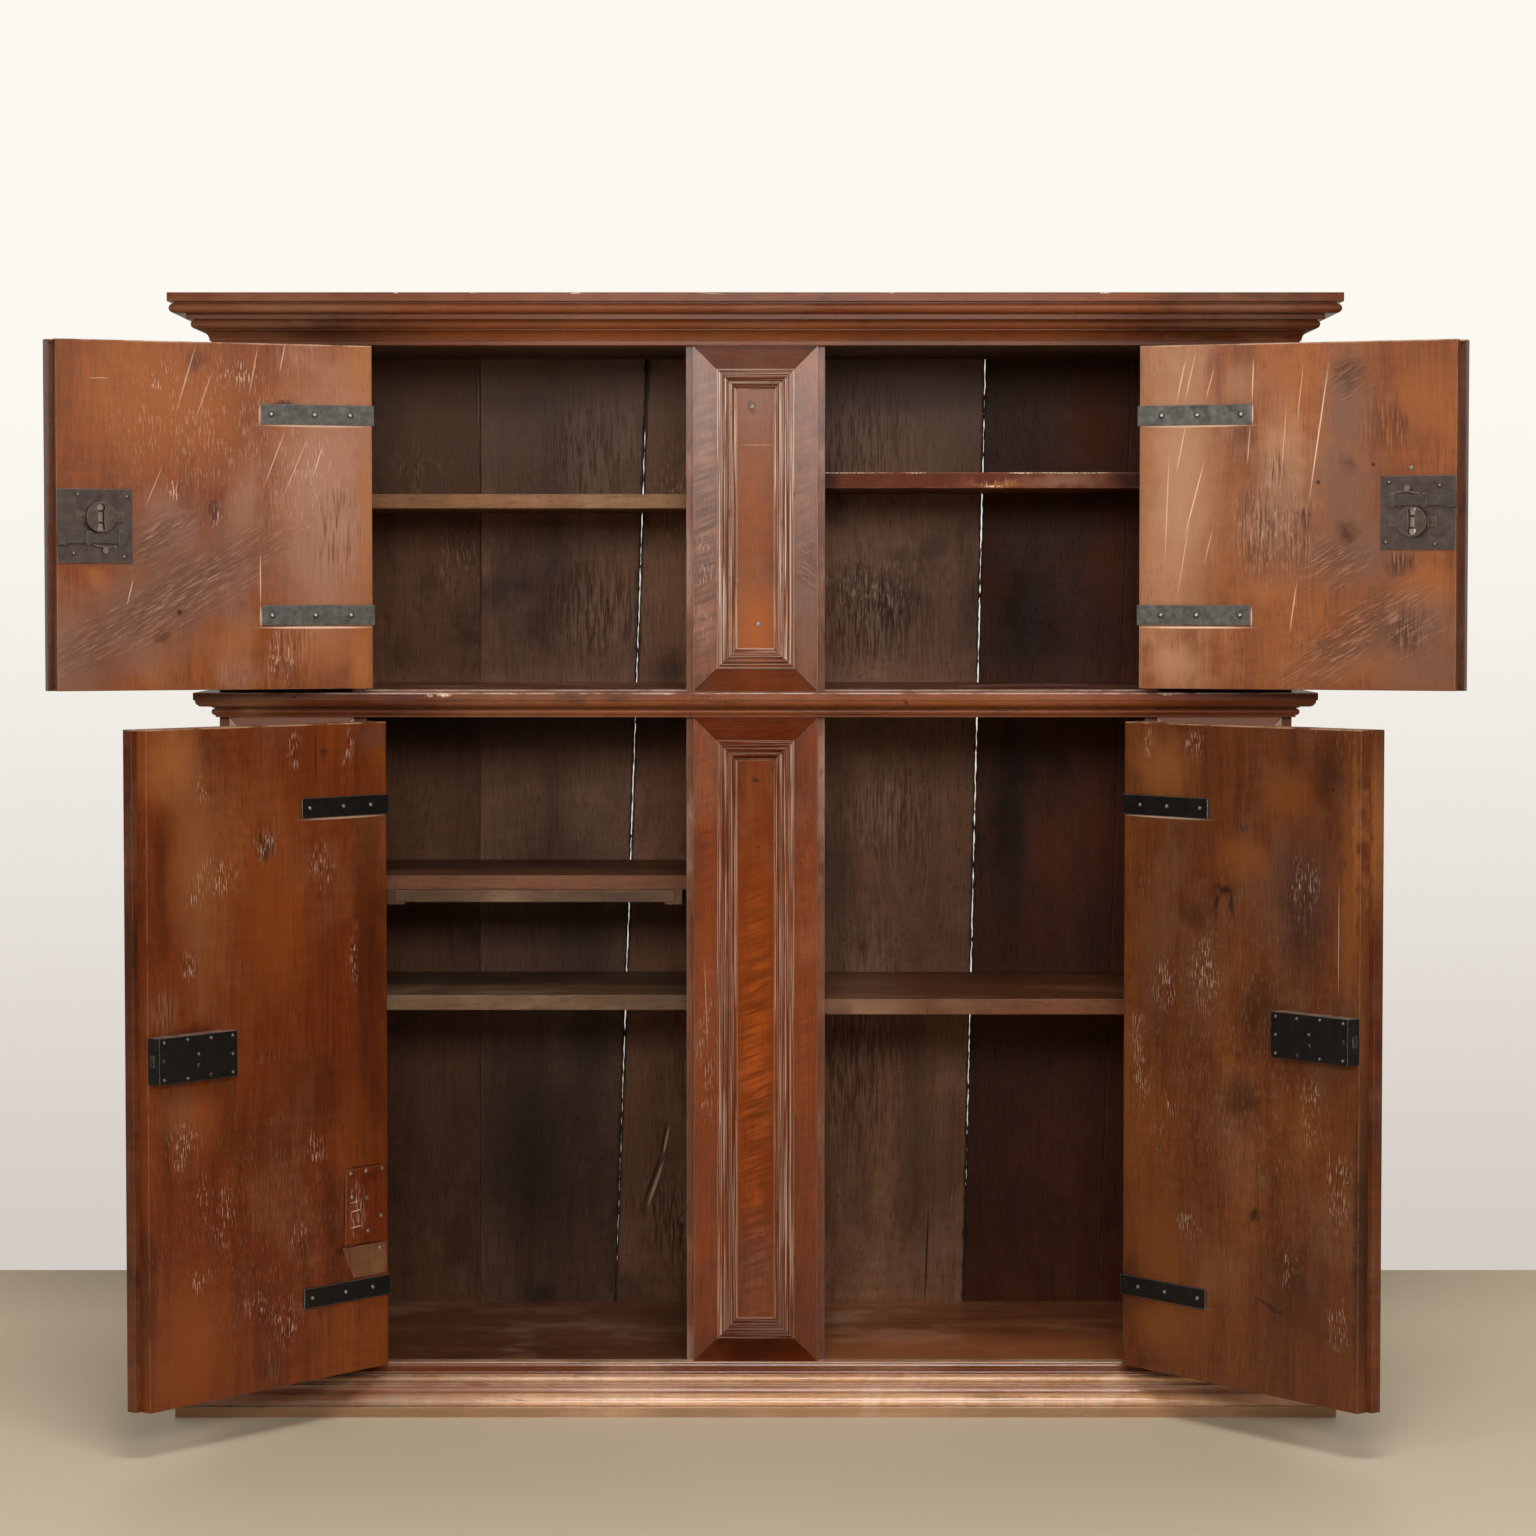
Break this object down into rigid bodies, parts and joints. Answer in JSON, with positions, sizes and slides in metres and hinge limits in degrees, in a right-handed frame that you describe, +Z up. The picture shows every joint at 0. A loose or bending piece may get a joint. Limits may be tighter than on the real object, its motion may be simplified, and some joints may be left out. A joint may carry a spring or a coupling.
{
  "type": "court cupboard",
  "caption": "Free-standing two-tier walnut cupboard with moulded cornice, waist and plinth, framed pilasters, and strap-hinged doors with iron locks standing open over its shelves.",
  "frame": {"origin": "middle of the plinth's footprint, on the underside of the centre bearer, where the cupboard stands on the floor", "axes": "+X to the right seen from the front, +Y to the back, +Z up; the doors open towards -Y"},
  "size_m": [1.8819, 0.8753, 1.53],
  "materials": {
    "cornice_wood": "worn waxed walnut",
    "waist_wood": "worn waxed walnut",
    "plinth_wood": "worn waxed walnut",
    "upper_pilaster_wood": "worn waxed walnut",
    "lower_pilaster_wood": "worn waxed walnut",
    "post_wood": "worn waxed walnut",
    "side_wood": "worn waxed walnut",
    "back_wood": "worn waxed walnut",
    "shelf_wood": "worn waxed walnut",
    "floor_wood": "worn waxed walnut",
    "inner_wood": "worn waxed walnut",
    "pintle_iron": "worn iron",
    "upper_door_wood": "worn waxed walnut",
    "lower_door_wood": "worn waxed walnut",
    "door_front_wood": "worn waxed walnut",
    "upper_strap_iron": "worn iron",
    "lower_strap_iron": "worn iron",
    "lock_plate_iron": "worn iron",
    "lock_case_iron": "worn iron",
    "bolt_iron": "worn iron",
    "spring_iron": "worn iron"
  },
  "bodies": {
    "carcase": {"back_planks": "back_wood", "board_runners": "inner_wood", "centre_bearer": "inner_wood", "cornice_front": "cornice_wood", "cornice_left": "cornice_wood", "cornice_right": "cornice_wood", "floor_board": "floor_wood", "hinge_pintles": "pintle_iron", "lower_left_lower_shelf": "shelf_wood", "lower_left_upper_shelf": "shelf_wood", "lower_right_shelf": "shelf_wood", "mid_board": "floor_wood", "partition_lower": "inner_wood", "partition_upper": "inner_wood", "pilaster_lower_centre": "lower_pilaster_wood", "pilaster_lower_left": "lower_pilaster_wood", "pilaster_lower_right": "lower_pilaster_wood", "pilaster_upper_centre": "upper_pilaster_wood", "pilaster_upper_left": "upper_pilaster_wood", "pilaster_upper_right": "upper_pilaster_wood", "plinth_front": "plinth_wood", "plinth_left": "plinth_wood", "plinth_right": "plinth_wood", "post_centre": "post_wood", "post_left": "post_wood", "post_right": "post_wood", "shelf_cleats": "inner_wood", "side_left": "side_wood", "side_right": "side_wood", "top_board": "inner_wood", "upper_left_shelf": "shelf_wood", "upper_right_shelf": "shelf_wood", "waist_front": "waist_wood", "waist_left": "waist_wood", "waist_right": "waist_wood"},
    "pull_out_board": {"pull_out_board": "shelf_wood"},
    "upper_left_door": {"upper_left_door_board": "upper_door_wood", "upper_left_door_front": "door_front_wood", "upper_left_door_straps": "upper_strap_iron", "upper_left_key_cover": "lock_plate_iron", "upper_left_lock_plate": "lock_plate_iron", "upper_left_lock_spring": "spring_iron"},
    "upper_left_bolt": {"upper_left_lock_bolt": "bolt_iron"},
    "upper_right_door": {"upper_right_door_board": "upper_door_wood", "upper_right_door_front": "door_front_wood", "upper_right_door_straps": "upper_strap_iron", "upper_right_key_cover": "lock_plate_iron", "upper_right_lock_plate": "lock_plate_iron", "upper_right_lock_spring": "spring_iron"},
    "upper_right_bolt": {"upper_right_lock_bolt": "bolt_iron"},
    "lower_left_door": {"lower_left_door_board": "lower_door_wood", "lower_left_door_front": "door_front_wood", "lower_left_door_straps": "lower_strap_iron", "lower_left_lock_case": "lock_case_iron"},
    "lower_left_bolt": {"lower_left_lock_bolt": "bolt_iron"},
    "lower_right_door": {"lower_right_door_board": "lower_door_wood", "lower_right_door_front": "door_front_wood", "lower_right_door_straps": "lower_strap_iron", "lower_right_lock_case": "lock_case_iron"},
    "lower_right_bolt": {"lower_right_lock_bolt": "bolt_iron"}
  },
  "joints": [
    {"name": "upper_left_door_swing", "type": "hinge", "parent": "carcase", "child": "upper_left_door", "pos_m": [-0.5325, -0.2235, 1.2], "axis": [0, 0, -1], "range_deg": [-157, 13]},
    {"name": "upper_left_bolt_slide", "type": "slide", "parent": "upper_left_door", "child": "upper_left_bolt", "axis": [-0.9205, -0.3907, 0], "range_m": [0, 0.012]},
    {"name": "upper_right_door_swing", "type": "hinge", "parent": "carcase", "child": "upper_right_door", "pos_m": [0.5325, -0.2235, 1.2], "axis": [0, 0, 1], "range_deg": [-158.5, 11.5]},
    {"name": "upper_right_bolt_slide", "type": "slide", "parent": "upper_right_door", "child": "upper_right_bolt", "axis": [0.9304, -0.3665, 0], "range_m": [0, 0.012]},
    {"name": "lower_left_door_swing", "type": "hinge", "parent": "carcase", "child": "lower_left_door", "pos_m": [-0.5325, -0.2235, 0.7], "axis": [0, 0, -1], "range_deg": [-129.5, 40.5]},
    {"name": "lower_left_bolt_slide", "type": "slide", "parent": "lower_left_door", "child": "lower_left_bolt", "axis": [-0.6361, -0.7716, 0], "range_m": [0, 0.012]},
    {"name": "lower_right_door_swing", "type": "hinge", "parent": "carcase", "child": "lower_right_door", "pos_m": [0.5325, -0.2235, 0.7], "axis": [0, 0, 1], "range_deg": [-129, 41]},
    {"name": "lower_right_bolt_slide", "type": "slide", "parent": "lower_right_door", "child": "lower_right_bolt", "axis": [0.6293, -0.7771, 0], "range_m": [0, 0.012]},
    {"name": "pull_out_board_slide", "type": "slide", "parent": "carcase", "child": "pull_out_board", "axis": [0, -1, 0], "range_m": [0, 0.13]}
  ]
}
